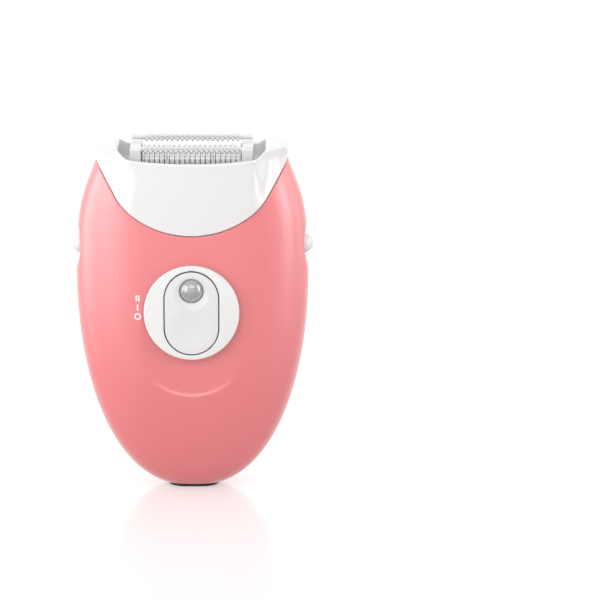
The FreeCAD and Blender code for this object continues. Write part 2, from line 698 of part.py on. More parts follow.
# ---- handle: power inlet ----
def power_inlet():
    wide = (INLET_HALF_X + INLET_WALL, INLET_HALF_Y + INLET_WALL)
    collar = stadium(wide[0] + 1.0, wide[1] + 0.9, 0, BODY_FOOT_Z)
    sleeve = stadium(wide[0], wide[1], 0, INLET_DEPTH + 1.8)
    recess = stadium(INLET_HALF_X, INLET_HALF_Y, -1, INLET_DEPTH)
    holes = [rod_z(PIN_ROOT_R, INLET_DEPTH - 0.5, 20, side * PIN_X, 0) for side in SIDES]
    return collar.fuse(sleeve).cut(recess.multiFuse(holes)).removeSplitter()


def inlet_pins():
    pins = []
    for side in SIDES:
        z0 = INLET_DEPTH - PIN_LENGTH
        pin = rod_z(PIN_R, z0 + 0.4, INLET_DEPTH + 0.1, side * PIN_X, 0)
        root = rod_z(PIN_ROOT_R, INLET_DEPTH, INLET_DEPTH + 4.0, side * PIN_X, 0)
        cone = Part.makeCone(PIN_R - 0.35, PIN_R, 0.4, Vector(side * PIN_X, 0, z0), Vector(0, 0, 1))
        pins.append(pin.multiFuse([root, cone]))
    return pins


# ---- switch ----
def disc_form():
    """The round switch: a low dome with a rounded edge."""
    crown = Vector(0, 0, DISC_TOP)
    brow = Vector(SWITCH_R - 0.45, 0, DISC_TOP - 1.45)
    edge = Vector(SWITCH_R, 0, DISC_TOP - 2.1)
    foot = Vector(SWITCH_R, 0, -2.5)
    heel = Vector(0, 0, -2.5)
    dome = Part.Arc(crown, Vector(SWITCH_R * 0.55, 0, DISC_TOP - 0.42), brow).toShape()
    rounding = Part.Arc(brow, Vector(SWITCH_R - 0.1, 0, DISC_TOP - 1.7), edge).toShape()
    lines = [Part.LineSegment(a, b).toShape() for a, b in ((edge, foot), (foot, heel), (heel, crown))]
    face = Part.Face(Part.Wire([dome, rounding] + lines))
    return face.revolve(Vector(0, 0, 0), Vector(0, 0, 1), 360)


def switch_pieces():
    """Disc, inlay, lens and light, drawn flat and then moved onto the front."""
    full = disc_form()
    pocket = upright_stadium(INLAY_HALF_WIDTH, INLAY_HALF_HEIGHT, INLAY_FLOOR, 6.0)
    block = upright_stadium(INLAY_HALF_WIDTH - INLAY_GAP, INLAY_HALF_HEIGHT - INLAY_GAP, INLAY_FLOOR, 6.0)
    funnel = Part.makeCone(LENS_R + 0.1, LENS_RING_R, 0.9, Vector(0, LENS_V, DISC_TOP - 1.15), Vector(0, 0, 1))
    above = rod_z(LENS_RING_R, DISC_TOP - 0.25, DISC_TOP + 1, 0, LENS_V)
    dimple = ball(DIMPLE_BALL_R, 0, DIMPLE_V, DISC_TOP - 0.95 + DIMPLE_BALL_R)
    well = rod_z(LENS_R + 0.1, 0.0, 6.0, 0, LENS_V)
    inlay = full.common(block).cut(funnel.multiFuse([above, well])).cut(dimple)
    disc = full.cut(pocket).cut(rod_z(LENS_R + 0.1, 0.55, 6.0, 0, LENS_V))
    disc = disc.cut(box(-1.7, 1.7, LENS_V - 0.9, LENS_V + 0.9, -3, 6))
    lens_ball_r = 4.6
    lens = ball(lens_ball_r, 0, LENS_V, DISC_TOP + 0.45 - lens_ball_r)
    lens = lens.common(rod_z(LENS_R, 0.6, 6.0, 0, LENS_V))
    light = box(-1.6, 1.6, LENS_V - 0.8, LENS_V + 0.8, 0.05, 0.6)
    carrier = box(-3.0, 3.0, -4.1, 4.1, -3.0, 0.2)
    carrier = carrier.fuse(box(-5.6, 5.6, -7.5, 6.5, -3.7, -2.9))
    lever = box(-0.9, 0.9, -1.2, 1.2, -5.85, -3.7)
    return disc, inlay, lens, light, carrier, lever


def switch_disc(disc):
    """The underside of the disc follows the handle's skin everywhere along the travel."""
    skins = []
    for k in range(4):
        skin = body_solid(BODY_FOOT_Z)
        step = SWITCH_TRAVEL * k / 3
        skin.translate(Vector(0, -step * math.sin(SWITCH_TILT) - 0.25, -step * math.cos(SWITCH_TILT)))
        skins.append(skin)
    disc = to_switch(disc)
    for skin in skins:
        disc = disc.cut(skin)
    return disc


def slide_switch_body():
    body = box(-4.5, 4.5, BOARD_Y0 - 2.3, BOARD_Y0, 58.0, 74.0)
    return body.cut(box(-1.2, 1.2, BOARD_Y0 - 4.0, BOARD_Y0 - 0.6, 61.6, 72.0))


# ---- release buttons ----
FLANGE_X0 = 33.5
FLANGE_X1 = 34.7
ARM_X0 = 25.4
ARM_X1 = 27.0


def release_button():
    knob = rod_x(BUTTON_R, FLANGE_X1 - 0.1, BUTTON_X, 0, BUTTON_Z).fuse(ball(BUTTON_R, BUTTON_X, 0, BUTTON_Z))
    pieces = [
        rod_x(4.6, FLANGE_X0, FLANGE_X1, 0, BUTTON_Z),
        rod_x(1.5, ARM_X0, FLANGE_X0 + 0.2, 0, BUTTON_Z),
        box(ARM_X0, ARM_X1, -2.4, 2.4, BUTTON_Z - 2.2, LATCH_Z1),
    ]
    slope = 0.9
    nose = [Vector(ARM_X1 - 0.2, -2.4, LATCH_Z0), Vector(TAB_X1 - 0.2, -2.4, LATCH_Z0),
            Vector(TAB_X1 - 0.2, -2.4, LATCH_Z0 + 0.8), Vector(TAB_X1 - 0.2 - slope, -2.4, LATCH_Z1),
            Vector(ARM_X1 - 0.2, -2.4, LATCH_Z1)]
    pieces.append(prism(nose, Vector(0, 4.8, 0)))
    return knob.multiFuse(pieces).removeSplitter()


def button_spring():
    return coil_spring(2.4, 0.3, GUIDE_X1, FLANGE_X0, 0, BUTTON_Z, 4)


# ---- head ----
def head_width(z, wall=0.0):
    return half_width(min(z, 111.0)) + 0.45 - wall


def head_section(z, wall=0.0):
    share = max(0.0, (z - 87.0) / 25.0)
    front = front_depth(min(z, 112.0)) + HEAD_PROUD - 1.0 * min(1.0, share) - wall
    back = back_depth(min(z, 112.0)) + HEAD_PROUD - wall
    return section(z, head_width(z, wall), front, back, BULGE * min(1.1, share) * 0.999)


def head_loft(wall=0.0):
    return Part.makeLoft([head_section(85.0 + 5.0 * k, wall) for k in range(8)], True, False)


def ear_profile(inset=0.0):
    """Everything below the head's top outline: two round ears with a long dip between them."""
    i = inset
    crest = [(20.4 + i, RIM_Z), (22.5 + i, 114.5 - i), (24.3 + i * 0.6, 116.2 - i), (26.6, EAR_TOP_Z - i),
             (28.8 - i * 0.5, 117.5 - i), (30.8 - i * 0.8, 116.6 - i * 0.8), (HEAD_HALF_WIDTH - i, 115.0)]
    waist_x = HEAD_HALF_WIDTH - 0.4 - i
    edges = []
    for side in SIDES:
        curve = Part.BSplineCurve()
        curve.interpolate([Vector(side * x, 0, z) for x, z in crest])
        edges.append(curve.toShape())
        points = [(HEAD_HALF_WIDTH - i, 115.0), (waist_x, 111.6), (waist_x + 4, 105), (waist_x + 4, 80)]
        points = [Vector(side * x, 0, z) for x, z in points]
        edges += [Part.LineSegment(p, q).toShape() for p, q in zip(points, points[1:])]
    edges.append(Part.LineSegment(Vector(-waist_x - 4, 0, 80), Vector(waist_x + 4, 0, 80)).toShape())
    dip = [Vector(-20.4 - i, 0, RIM_Z), Vector(0, 0, RIM_Z - 0.9), Vector(20.4 + i, 0, RIM_Z)]
    edges.append(Part.Arc(*dip).toShape())
    face = Part.Face(Part.Wire(Part.__sortEdges__(edges)))
    face.translate(Vector(0, -40, 0))
    return face.extrude(Vector(0, 80, 0))


def ear_arch(inset=0.0):
    """Everything below a shallow arch across the head, highest at y = 0."""
    top = EAR_TOP_Z - inset
    fall = EAR_FALL * (24.0 / 12.0) ** 2
    curve = Part.BSplineCurve()
    curve.interpolate([Vector(-45, 24.0 * k / 4, top - fall * (k / 4) ** 2) for k in range(-4, 5)])
    ends = [Vector(-45, 24.0, top - fall), Vector(-45, 24.0, 70), Vector(-45, -24.0, 70), Vector(-45, -24.0, top - fall)]
    lines = [Part.LineSegment(a, b).toShape() for a, b in zip(ends, ends[1:])]
    face = Part.Face(Part.Wire(Part.__sortEdges__([curve.toShape()] + lines)))
    return face.extrude(Vector(90, 0, 0))


def upright_pill(half_x, half_y, radius, z0, z1):
    """An upright block with rounded corners."""
    core = box(-half_x + radius, half_x - radius, -half_y, half_y, z0, z1)
    core = core.fuse(box(-half_x, half_x, -half_y + radius, half_y - radius, z0, z1))
    corners = [rod_z(radius, z0, z1, i * (half_x - radius), j * (half_y - radius)) for i in SIDES for j in SIDES]
    return core.multiFuse(corners).removeSplitter()


SHELF_Z0 = 107.4           # shelf of the head cover around the drum
SHELF_Z1 = 108.9
HEAD_SCREW_PLACES = [(-12.0, -12.5), (12.0, -12.5), (-12.0, 12.5), (12.0, 12.5)]
PAD_Z0 = 92.5              # pads on the head frame's floor that carry the head screws
PAD_Z1 = 95.2
SCREW_SEAT_Z = 93.6


def head_inner():
    return head_loft(HEAD_WALL)


def head_cover(inner):
    outer = head_loft().common(ear_profile()).common(ear_arch()).common(above_seam(0.0))
    basin = inner.common(upright_pill(BASIN_HALF_X, 15.6, 7.0, SHELF_Z1, 130))
    below = inner.common(box(-40, 40, -40, 40, 80, SHELF_Z0))
    ears = inner.common(ear_profile(HEAD_WALL)).common(ear_arch(HEAD_WALL))
    ears = ears.common(box(-40, 40, -40, 40, SHELF_Z0 - 1, 130)).cut(box(-26.0, 26.0, -40, 40, 80, 130))
    opening = box(-20.9, 20.9, -11.2, 11.2, 100, 115)
    cover = outer.cut(below).cut(basin).cut(opening)
    for solid in ears.Solids:
        cover = cover.cut(solid)
    bosses = [rod_z(1.8, PAD_Z1, SHELF_Z0 + 0.5, x, y) for x, y in HEAD_SCREW_PLACES]
    holes = [rod_z(0.9, PAD_Z1 - 1, PAD_Z1 + 7.5, x, y) for x, y in HEAD_SCREW_PLACES]
    return cover.multiFuse(bosses).cut(holes[0].multiFuse(holes[1:]))


def gear_pocket(x0, x1, gap):
    """Room for the drum gear and the transfer gear in the right-hand bearing block."""
    upper = rod_x(7.4 - gap, x0, x1, 0, DRUM_Z)
    lower = rod_x(6.1 - gap, x0, x1, 0, TRANSFER_Z)
    return upper.fuse(lower)


def head_frame(inner):
    """Floor, two bearing blocks, hair tray under the drum and latch tabs, in one piece."""
    room = head_loft(HEAD_WALL + 0.1).common(ear_profile(HEAD_WALL + 0.1)).common(ear_arch(HEAD_WALL + 0.1))
    floor = tilted_slab(0.5, 2.1).common(room)
    block_outline = [(-9.6, 90), (-9.6, 116.3), (-9.3, 116.6), (-6.2, 116.6), (-5.6, 116.1),
                     (5.6, 116.1), (6.2, 116.5), (9.3, 116.5), (9.6, 116.2), (9.6, 90)]
    pieces = []
    for side in SIDES:
        x0, x1 = sorted((side * BLOCK_X0, side * BLOCK_X1))
        pieces.append(prism_x(block_outline, x0, x1).common(above_seam(-0.6)))
        tab_x0, tab_x1 = sorted((side * TAB_X0, side * TAB_X1))
        tab = box(tab_x0, tab_x1, -TAB_HALF_Y, TAB_HALF_Y, TAB_FOOT_Z, 106.5)
        pieces.append(tab.cut(box(tab_x0 - 1, tab_x1 + 1, -2.7, 2.7, TAB_FOOT_Z - 1, LATCH_Z1 + 0.3)))
    tray = rod_x(10.6, -BLOCK_X0, BLOCK_X0, 0, DRUM_Z).cut(rod_x(9.4, -20, 20, 0, DRUM_Z))
    pieces.append(tray.common(box(-30, 30, -20, 20, 90, 107.0)))
    for x in (-11.0, 0.0, 11.0):
        rib = box(x - 0.7, x + 0.7, -7.0, 7.0, 89, 101).common(above_seam(-0.6))
        pieces.append(rib.cut(rod_x(9.9, -20, 20, 0, DRUM_Z)))
    for x, y in HEAD_SCREW_PLACES:
        pieces.append(rod_z(2.4, PAD_Z0, PAD_Z1, x, y))
    frame = floor.multiFuse(pieces)
    cutters = [
        gear_pocket(GEAR_X0 - 0.3, 25, 0.0),
        box(GEAR_X0 - 0.3, GEAR_X1 + 0.5, -6.1, 6.1, 85, TRANSFER_Z),
        rod_x(2.4, -BLOCK_X1 + 1.6, BLOCK_X1, 0, DRUM_Z),
        rod_x(1.0, 16, 25, 0, TRANSFER_Z),
        rod_x(CLOSING_ROD_REACH + 0.9, -17.6, -16.5, 0, DRUM_Z).cut(
            rod_x(CLOSING_ROD_REACH - 0.9, -17.7, -16.0, 0, DRUM_Z)),
    ]
    for y, z in ((-ROLLER_Y, FRONT_ROLLER_Z), (ROLLER_Y, REAR_ROLLER_Z)):
        cutters.append(rod_x(ROLLER_BAR_R + 0.1, -20.1, 20.1, y, z))
        cutters.append(box(-20.1, 20.1, y - ROLLER_BAR_R - 0.1, y + ROLLER_BAR_R + 0.1, z, 120))
    for x, y in HEAD_SCREW_PLACES:
        cutters.append(rod_z(1.9, 85, SCREW_SEAT_Z, x, y))
        cutters.append(rod_z(0.95, 90, 96, x, y))
    return frame.cut(cutters[0].multiFuse(cutters[1:]))


def head_screws():
    return [screw(Vector(x, y, PAD_Z1 + 7.0), Vector(0, 0, -1), PAD_Z1 + 7.0 - SCREW_SEAT_Z, 0.9, 1.75, 1.1)
            for x, y in HEAD_SCREW_PLACES]


def gear_cover():
    plate = gear_pocket(19.7, BLOCK_X1, 0.05)
    return plate.cut(rod_x(1.55, 10, 25, 0, DRUM_Z)).cut(rod_x(1.0, 10, 25, 0, TRANSFER_Z))


def transfer_gear():
    gear = spur_gear(TRANSFER_TEETH, GEAR_X0, GEAR_X1, 0, TRANSFER_Z, TRANSFER_PHASE)
    return gear.cut(rod_x(SHAFT_R + 0.04, 10, 30, 0, TRANSFER_Z))


def drum_gear():
    gear = spur_gear(DRUM_TEETH, GEAR_X0, GEAR_X1, 0, DRUM_Z, DRUM_PHASE)
    return gear.cut(rod_x(1.5, 10, 30, 0, DRUM_Z))


def drum_bearings():
    bore = rod_x(1.55, -30, 30, 0, DRUM_Z)
    return [rod_x(2.4, -18.7, -BLOCK_X0, 0, DRUM_Z).cut(bore),
            rod_x(2.4, BLOCK_X0, GEAR_X0 - 0.3, 0, DRUM_Z).cut(bore)]


def cam_ring():
    """A steel ring in the left-hand block; the closing rods run round on it."""
    ring = rod_x(CLOSING_ROD_REACH + 0.8, -17.5, -16.9, 0, DRUM_Z)
    return ring.cut(rod_x(CLOSING_ROD_REACH - 0.8, -20, 0, 0, DRUM_Z))


# ---- drum ----
def rod_places():
    turns = [math.radians(45 + 90 * k) for k in range(4)]
    return [(CLOSING_ROD_REACH * math.cos(a), DRUM_Z + CLOSING_ROD_REACH * math.sin(a)) for a in turns]


def rod_holes(radius, x0, x1):
    return [rod_x(radius, x0, x1, y, z) for y, z in rod_places()]


def module_start(k):
    return -(DRUM_HALF_LENGTH - DRUM_CAP) + k * MODULE_PITCH


def drum_core():
    """Round core with a row of lobed discs. Here and there a lobe is left out, along a slow spiral."""
    core = rod_x(DRUM_CORE_R, -DRUM_HALF_LENGTH + DRUM_CAP, DRUM_HALF_LENGTH - DRUM_CAP, 0, DRUM_Z)
    discs = []
    for k in range(MODULES):
        x1 = module_start(k + 1) - 0.04
        missing = [j for j in range(LOBES) if (k + 4 * j) % 9 == 7]
        discs.append(lobed_prism(LOBE_VALLEY_R, LOBE_R, LOBES, x1 - LOBED_DISC, x1, 0, DRUM_Z, LOBE_TURN, missing))
    core = core.multiFuse(discs)
    holes = rod_holes(CLOSING_ROD_R + 0.12, -20, 20) + [rod_x(1.5, -20, 20, 0, DRUM_Z)]
    return core.cut(holes[0].multiFuse(holes[1:]))


def tweezer_plates(offset, bore_r, rod_gap):
    plates = []
    cutter = rod_holes(CLOSING_ROD_R + rod_gap, -20, 20)
    cutter = cutter[0].multiFuse(cutter[1:] + [rod_x(bore_r, -20, 20, 0, DRUM_Z)])
    for k in range(MODULES):
        x0 = module_start(k) + offset
        plates.append(lobed_prism(TWEEZER_VALLEY_R, TWEEZER_R, LOBES, x0, x0 + PLATE, 0, DRUM_Z, LOBE_TURN).cut(cutter))
    return plates


def drum_end_caps():
    cutter = rod_holes(CLOSING_ROD_R + 0.12, -20, 20)
    cutter = cutter[0].multiFuse(cutter[1:] + [rod_x(1.5, -20, 20, 0, DRUM_Z)])
    inner, outer = DRUM_HALF_LENGTH - DRUM_CAP, DRUM_HALF_LENGTH
    return [rod_x(7.9, inner, outer, 0, DRUM_Z).cut(cutter), rod_x(7.9, -outer, -inner, 0, DRUM_Z).cut(cutter)]


def massage_roller(y, z):
    """A thin bar with a row of knobbly rings; its bare ends lie in the bearing blocks."""
    bar = rod_x(ROLLER_BAR_R, -20.0, 20.0, y, z)
    rings = []
    for k in range(MODULES):
        x = module_start(k) + MODULE_PITCH / 2
        rings.append(lobed_prism(1.0, ROLLER_NUB_R, 6, x - 0.35, x + 0.35, y, z, math.pi / 2))
    return bar.multiFuse(rings)


# ---- build and write everything ----
DRUM_PHASE = -math.pi / 2
TRANSFER_PHASE = meshing_phase(DRUM_TEETH, DRUM_PHASE, TRANSFER_TEETH, -math.pi / 2)
OUTPUT_PHASE = meshing_phase(TRANSFER_TEETH, TRANSFER_PHASE, OUTPUT_TEETH, -math.pi / 2)
CROWN_DIRECTION = math.atan2(CROWN_Z - OUTPUT_Z, MOTOR_Y)
CROWN_PHASE = meshing_phase(OUTPUT_TEETH, OUTPUT_PHASE, CROWN_PINION_TEETH, CROWN_DIRECTION)
INNER_SPACE = inner_space()
HEAD_INNER = head_inner()


def all_parts():
    skin = handle_skin(INNER_SPACE)
    disc, inlay, lens, light, carrier, lever = switch_pieces()
    disc = switch_disc(disc)
    moving_rods = [rod_x(CLOSING_ROD_R, -16.85, 15.9, *place) for place in rod_places()]
    button, spring = release_button(), button_spring()
    return {
        "front_shell": front_shell(skin),
        "back_shell": back_shell(skin),
        "seat_deck": seat_deck(),
        "deck_screws": deck_screws(),
        "chassis": chassis(),
        "chassis_screws": chassis_screws(),
        "circuit_board": circuit_board(),
        "board_screws": board_screws(),
        "board_components": board_components(),
        "slide_switch_body": slide_switch_body(),
        "power_inlet": power_inlet(),
        "inlet_pins": inlet_pins(),
        "inlet_leads": inlet_leads(),
        "motor_can": motor_can(),
        "motor_end_cap": motor_end_cap(),
        "motor_magnets": motor_magnets(),
        "motor_leads": motor_leads(),
        "motor_shaft": motor_shaft(),
        "rotor_core": rotor_core(),
        "motor_pinion": motor_pinion(),
        "gear_shafts": gear_shafts(),
        "crown_gear": crown_gear(CROWN_PHASE),
        "output_gear": output_gear(),
        "switch_disc": disc,
        "switch_inlay": to_switch(inlay),
        "light_lens": to_switch(lens),
        "light_chip": to_switch(light),
        "switch_carrier": to_switch(carrier).cut(disc),
        "switch_lever": to_switch(lever),
        "right_release_button": button,
        "left_release_button": mirrored(button),
        "right_button_spring": spring,
        "left_button_spring": mirrored(spring),
        "head_cover": head_cover(HEAD_INNER),
        "head_frame": head_frame(HEAD_INNER),
        "head_screws": head_screws(),
        "gear_cover": gear_cover(),
        "drum_bearings": drum_bearings(),
        "transfer_axle": rod_x(SHAFT_R, 16.6, BLOCK_X1, 0, TRANSFER_Z),
        "transfer_gear": transfer_gear(),
        "cam_ring": cam_ring(),
        "drum_shaft": rod_x(1.5, -18.6, BLOCK_X1, 0, DRUM_Z),
        "drum_core": drum_core(),
        "drum_end_caps": drum_end_caps(),
        "fixed_tweezer_plates": tweezer_plates(PLATE + TWEEZER_GAP, DRUM_CORE_R, 0.12),
        "moving_tweezer_plates": tweezer_plates(0.0, DRUM_CORE_R + 0.15, 0.0),
        "closing_rods": moving_rods,
        "drum_gear": drum_gear(),
        "front_massage_roller": massage_roller(-ROLLER_Y, FRONT_ROLLER_Z),
        "rear_massage_roller": massage_roller(ROLLER_Y, REAR_ROLLER_Z),
    }


def write_parts(parts):
    os.makedirs("parts", exist_ok=True)
    for name, shape in parts.items():
        solids = shape if isinstance(shape, list) else shape.Solids
        solid = solids[0] if len(solids) == 1 else Part.makeCompound(solids)
        solid.exportStep("parts/" + name + ".step")


write_parts(all_parts())
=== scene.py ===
"""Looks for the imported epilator: materials, softened pieces, printed marks, stage, lights and camera."""

import json
import math

import bmesh
import bpy
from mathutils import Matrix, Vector
from mathutils.bvhtree import BVHTree


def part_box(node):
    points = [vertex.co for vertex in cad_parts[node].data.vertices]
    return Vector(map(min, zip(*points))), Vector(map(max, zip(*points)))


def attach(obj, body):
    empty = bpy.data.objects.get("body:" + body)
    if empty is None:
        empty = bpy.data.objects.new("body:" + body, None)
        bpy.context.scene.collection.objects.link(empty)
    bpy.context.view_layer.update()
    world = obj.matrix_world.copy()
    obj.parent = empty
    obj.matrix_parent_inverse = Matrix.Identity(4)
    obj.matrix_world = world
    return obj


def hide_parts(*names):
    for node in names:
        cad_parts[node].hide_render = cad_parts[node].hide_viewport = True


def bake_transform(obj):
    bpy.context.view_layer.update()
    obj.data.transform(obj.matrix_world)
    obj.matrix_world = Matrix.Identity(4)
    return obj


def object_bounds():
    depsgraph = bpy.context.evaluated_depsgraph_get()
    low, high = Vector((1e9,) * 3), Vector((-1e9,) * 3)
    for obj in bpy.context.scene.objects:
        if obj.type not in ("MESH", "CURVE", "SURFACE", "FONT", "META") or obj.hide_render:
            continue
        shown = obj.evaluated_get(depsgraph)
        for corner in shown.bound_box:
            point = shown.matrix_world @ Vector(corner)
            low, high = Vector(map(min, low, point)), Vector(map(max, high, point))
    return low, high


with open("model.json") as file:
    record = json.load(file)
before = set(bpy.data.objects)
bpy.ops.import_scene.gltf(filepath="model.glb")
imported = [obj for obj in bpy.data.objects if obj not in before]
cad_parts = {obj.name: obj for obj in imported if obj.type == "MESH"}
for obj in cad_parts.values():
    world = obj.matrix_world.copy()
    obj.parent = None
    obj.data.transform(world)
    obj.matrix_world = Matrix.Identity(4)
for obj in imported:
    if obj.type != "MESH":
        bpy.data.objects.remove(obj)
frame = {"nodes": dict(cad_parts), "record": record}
CAD_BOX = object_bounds()
NODES = frame["nodes"]
SLOT_OF = {part["node"]: part["material_slot"] for part in frame["record"]["subparts"]}
COLLECTION = bpy.context.collection


# ---- material helpers ----
class Surface:
    """A Principled material with a small node graph around it."""

    def __init__(self, name, color, roughness, metallic=0.0, **sockets):
        self.material = bpy.data.materials.new(name)
        self.material.use_nodes = True
        self.tree = self.material.node_tree
        self.shader = self.tree.nodes["Principled BSDF"]
        self.coords = self.tree.nodes.new("ShaderNodeTexCoord").outputs["Object"]
        self.color = color
        self.set("Base Color", (*color, 1.0))
        self.set("Roughness", roughness)
        self.set("Metallic", metallic)
        for socket, value in sockets.items():
            self.set(socket.replace("_", " "), value)

    def set(self, socket, value):
        self.shader.inputs[socket].default_value = value

    def link(self, output, target):
        self.tree.links.new(output, target)

    def noise(self, scale, detail=3.0, stretch=(1.0, 1.0, 1.0)):
        mapping = self.tree.nodes.new("ShaderNodeMapping")
        mapping.inputs["Scale"].default_value = stretch
        self.link(self.coords, mapping.inputs["Vector"])
        noise = self.tree.nodes.new("ShaderNodeTexNoise")
        noise.inputs["Scale"].default_value = scale
        noise.inputs["Detail"].default_value = detail
        self.link(mapping.outputs["Vector"], noise.inputs["Vector"])
        return noise.outputs["Fac"]

    def spread(self, value, low, high):
        """Maps the middle of a noise's range to low..high."""
        return map_range(self.tree, value, NOISE_MIDDLE, (low, high))

    def roughness(self, value):
        self.link(value, self.shader.inputs["Roughness"])

    def tint(self, value, other):
        """Mixes the base colour towards another one where value is 1."""
        mix = self.tree.nodes.new("ShaderNodeMix")
        mix.data_type = "RGBA"
        mix.inputs["A"].default_value = (*self.color, 1.0)
        mix.inputs["B"].default_value = (*other, 1.0)
        self.link(value, mix.inputs["Factor"])
        self.link(mix.outputs["Result"], self.shader.inputs["Base Color"])

    def bump(self, value, strength, distance):
        bump = self.tree.nodes.new("ShaderNodeBump")
        bump.inputs["Strength"].default_value = strength
        bump.inputs["Distance"].default_value = distance
        self.link(value, bump.inputs["Height"])
        self.link(bump.outputs["Normal"], self.shader.inputs["Normal"])


NOISE_MIDDLE = (0.3, 0.7)          # where most of a noise's values lie


def map_range(tree, value, source, target):
    """A node that maps the range source to the range target; its output."""
    remap = tree.nodes.new("ShaderNodeMapRange")
    for socket, number in zip(("From Min", "From Max", "To Min", "To Max"), (*source, *target)):
        remap.inputs[socket].default_value = number
    tree.links.new(value, remap.inputs["Value"])
    return remap.outputs["Result"]


def darker(color, share):
    return tuple(share * part for part in color)


def plastic(name, color, roughness, grain=900.0, depth=0.00002, **sockets):
    """Moulded plastic: slight patchiness in gloss and tone, and a very fine grain."""
    s = Surface(name, color, roughness, **sockets)
    s.roughness(s.spread(s.noise(60.0, 4.0), roughness * 0.85, roughness * 1.2))
    s.tint(s.spread(s.noise(25.0, 2.0), 0.0, 0.35), darker(color, 0.94))
    s.bump(s.noise(grain, 2.0), 0.35, depth)
    return s


def metal(name, color, roughness, stretch=(1.0, 1.0, 1.0), scale=1500.0):
    """Bright metal with fine drawn or turned lines."""
    s = Surface(name, color, roughness, metallic=1.0)
    lines = s.noise(scale, 3.0, stretch)
    s.roughness(s.spread(lines, roughness * 0.7, roughness * 1.4))
    s.tint(s.spread(s.noise(80.0), 0.0, 0.5), darker(color, 0.85))
    s.bump(lines, 0.25, 0.00002)
    return s


def pink_shell():
    """Coral plastic under a clear lacquer, with a soft pale sheen where it is seen at a slant."""
    s = Surface("coral_plastic", (0.80, 0.165, 0.18), 0.40, Specular_IOR_Level=1.0,
                Coat_Weight=1.0, Coat_Roughness=0.38, Coat_IOR=1.8,
                Sheen_Weight=0.40, Sheen_Roughness=0.5, Sheen_Tint=(1.0, 0.85, 0.84, 1.0))
    s.tint(s.spread(s.noise(18.0, 2.0), 0.0, 0.6), (0.82, 0.175, 0.19))
    s.roughness(s.spread(s.noise(45.0, 4.0), 0.35, 0.42))
    s.bump(s.noise(2600.0, 2.0), 0.25, 0.00001)
    return s


LOOKS = {
    "pink_shell": pink_shell(),
    "white_gloss": plastic("white_gloss_plastic", (0.74, 0.73, 0.725), 0.22,
                           Coat_Weight=0.4, Coat_Roughness=0.12),
    "silver_inlay": plastic("satin_inlay_plastic", (0.69, 0.68, 0.675), 0.30),
    "clear_lens": plastic("clear_lens_plastic", (0.66, 0.66, 0.66), 0.10, depth=0.000003,
                          Transmission_Weight=0.55, IOR=1.46,
                          Coat_Weight=1.0, Coat_Roughness=0.03, Coat_IOR=2.0),
    "light_chip": plastic("light_chip_plastic", (0.80, 0.79, 0.74), 0.4),
    "grey_plastic": plastic("grey_moulded_plastic", (0.42, 0.43, 0.45), 0.5, depth=0.00004),
    # black plastic, also the colour of the painted shadow band in the inlay's seam
    "black_plastic": plastic("black_moulded_plastic", (0.02, 0.02, 0.022), 0.45, depth=0.00004),
    "board_green": plastic("board_lacquer", (0.03, 0.16, 0.06), 0.3),
    "lead_jacket": plastic("lead_jacket_rubber", (0.5, 0.03, 0.03), 0.5),
    "white_drum": plastic("white_drum_plastic", (0.84, 0.835, 0.83), 0.28),
    "acetal": plastic("natural_gear_plastic", (0.80, 0.78, 0.73), 0.35),
    "tweezer_steel": metal("tweezer_steel", (0.92, 0.92, 0.92), 0.35, (8.0, 1.0, 1.0)),
    "steel": metal("turned_steel", (0.58, 0.58, 0.60), 0.28, (1.0, 1.0, 14.0)),
    "motor_zinc": metal("plated_motor_steel", (0.52, 0.53, 0.55), 0.38, (1.0, 1.0, 6.0), 700.0),
    "magnet": plastic("sintered_magnet", (0.05, 0.05, 0.055), 0.6, 500.0, 0.00008),
    "brass": metal("turned_brass", (0.72, 0.52, 0.22), 0.28, (14.0, 14.0, 1.0)),
    "roller_grey": plastic("roller_plastic", (0.70, 0.70, 0.70), 0.2),
}
for node, obj in NODES.items():
    obj.data.materials.clear()
    obj.data.materials.append(LOOKS[SLOT_OF[node]].material)


# ---- moulded pieces: the CAD form with the small roundings that a mould leaves on every edge ----
WELD_DISTANCE = 0.000002

# node: (body, voxel size, smoothing passes)
MOULDED = {
    "head_cover": ("head", 0.00025, 8),
    "head_frame": ("head", 0.00025, 5),
    "switch_disc": ("switch", 0.00020, 6),
    "switch_inlay": ("switch", 0.00020, 6),
    "left_release_button": ("left_button", 0.00020, 5),
    "right_release_button": ("right_button", 0.00020, 5),
    "front_shell": ("handle", 0.00035, 5),
    "back_shell": ("handle", 0.00035, 5),
    "power_inlet": ("handle", 0.00020, 4),
}


def copy_of(node, suffix):
    """A piece with its own copy of a CAD node's mesh."""
    piece = bpy.data.objects.new(node + suffix, NODES[node].data.copy())
    COLLECTION.objects.link(piece)
    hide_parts(node)
    return piece


def moulded(node, body, voxel, passes):
    """A finely meshed copy of a CAD piece, softened so that its edges are rounded and its faces stay."""
    piece = copy_of(node, "_moulded")
    weld = piece.modifiers.new("weld", "WELD")
    weld.merge_threshold = WELD_DISTANCE
    remesh = piece.modifiers.new("remesh", "REMESH")
    remesh.mode = "VOXEL"
    remesh.voxel_size = voxel
    soften = piece.modifiers.new("soften", "SMOOTH")
    soften.factor = 0.5
    soften.iterations = passes
    finished = bpy.data.meshes.new_from_object(piece.evaluated_get(bpy.context.evaluated_depsgraph_get()))
    piece.modifiers.clear()
    piece.data = finished
    finished.polygons.foreach_set("use_smooth", [True] * len(finished.polygons))
    finished.materials.clear()
    finished.materials.append(LOOKS[SLOT_OF[node]].material)
    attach(piece, body)


for node, (body, voxel, passes) in MOULDED.items():
    moulded(node, body, voxel, passes)


# ---- release button springs: each coil is a copy of the CAD spring, its placement baked into its mesh ----
def coil(node):
    piece = copy_of(node, "_coil")
    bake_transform(piece)


coil("right_button_spring")
coil("left_button_spring")


# ---- thin bands laid on a surface: the painted shadow in the seam round the inlay, and the printed marks ----
FRONT_Y = -0.1                     # in front of every piece
BACKWARDS = Vector((0.0, 1.0, 0.0))


